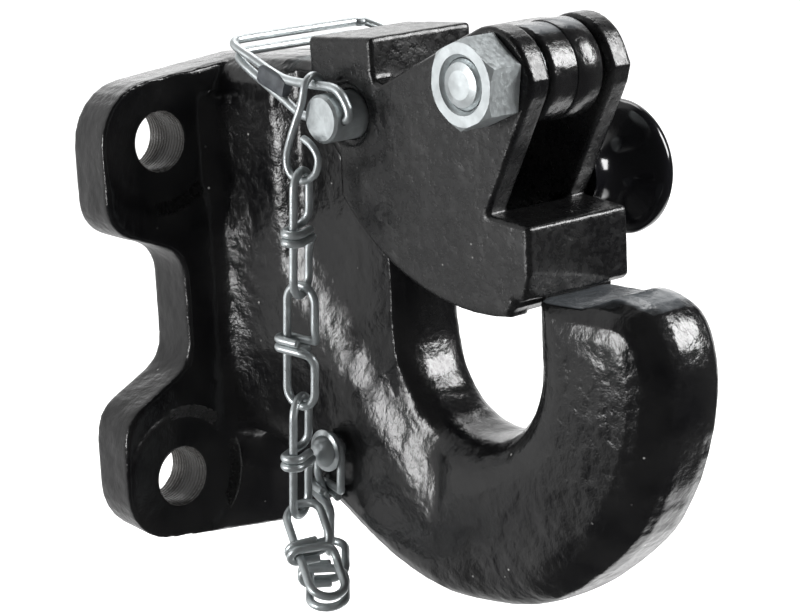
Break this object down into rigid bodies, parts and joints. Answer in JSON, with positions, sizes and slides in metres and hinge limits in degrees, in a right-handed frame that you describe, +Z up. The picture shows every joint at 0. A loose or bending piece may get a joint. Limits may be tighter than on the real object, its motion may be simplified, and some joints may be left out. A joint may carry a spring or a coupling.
{
  "type": "pintle hook",
  "caption": "Forged plate-mount pintle hook with a swinging latch, a lock pin held by a wire bail, and a tether chain.",
  "frame": {"origin": "centre of the bolt pattern, on the plate's back face", "axes": "+X forward out of the plate towards the trailer's eye, +Z up, +Y towards the knob side"},
  "size_m": [0.222, 0.1336, 0.1927],
  "materials": {
    "black_paint": "gloss black over a rough forged skin",
    "zinc_plate": "bright zinc plate",
    "plain_steel": "oiled plain steel",
    "black_knob": "smooth gloss black"
  },
  "bodies": {
    "frame": {"hook_body": "black_paint", "pivot_bolt": "zinc_plate", "pivot_nut": "zinc_plate", "pivot_bushing": "plain_steel", "thrust_washer_near": "plain_steel", "thrust_washer_far": "plain_steel", "chain_screw": "zinc_plate", "chain_washer": "zinc_plate"},
    "latch": {"latch": "black_paint", "latch_knob": "black_knob", "knob_stud": "plain_steel"},
    "pin": {"lock_pin": "zinc_plate"},
    "bail": {"pin_bail": "zinc_plate"},
    "s_hook": {"s_hook": "zinc_plate"},
    "chain_upper": {"chain_link_1": "zinc_plate", "chain_link_2": "zinc_plate", "chain_link_3": "zinc_plate", "chain_link_4": "zinc_plate"},
    "chain_tail": {"chain_link_5": "zinc_plate", "chain_link_6": "zinc_plate"}
  },
  "joints": [
    {"name": "latch_open", "type": "hinge", "parent": "frame", "child": "latch", "pos_m": [0.1615, 0, 0.088], "axis": [0, 1, 0], "range_deg": [0, 35]},
    {"name": "pin_play", "type": "slide", "parent": "latch", "child": "pin", "axis": [0, -1, 0], "range_m": [0, 0.009]},
    {"name": "bail_swing", "type": "hinge", "parent": "pin", "child": "bail", "pos_m": [0.0935, -0.0298, 0.0715], "axis": [1, 0, 0], "range_deg": [0, 90]},
    {"name": "s_hook_hang", "type": "hinge", "parent": "bail", "child": "s_hook", "pos_m": [0.0874, -0.0298, 0.0811], "axis": [1, 0, 0], "range_deg": [-90, 0]},
    {"name": "chain_hang", "type": "hinge", "parent": "s_hook", "child": "chain_upper", "pos_m": [0.0868, -0.0368, 0.0545], "axis": [0, 1, 0], "range_deg": [-35, 0]},
    {"name": "chain_tail_swing", "type": "hinge", "parent": "frame", "child": "chain_tail", "pos_m": [0.0765, -0.0226, -0.0436], "axis": [0, 1, 0], "range_deg": [0, 6]}
  ],
  "couplings": [
    {"joint": "s_hook_hang", "follows": "bail_swing", "ratio": -1},
    {"joint": "chain_hang", "follows": "latch_open", "ratio": -1}
  ]
}
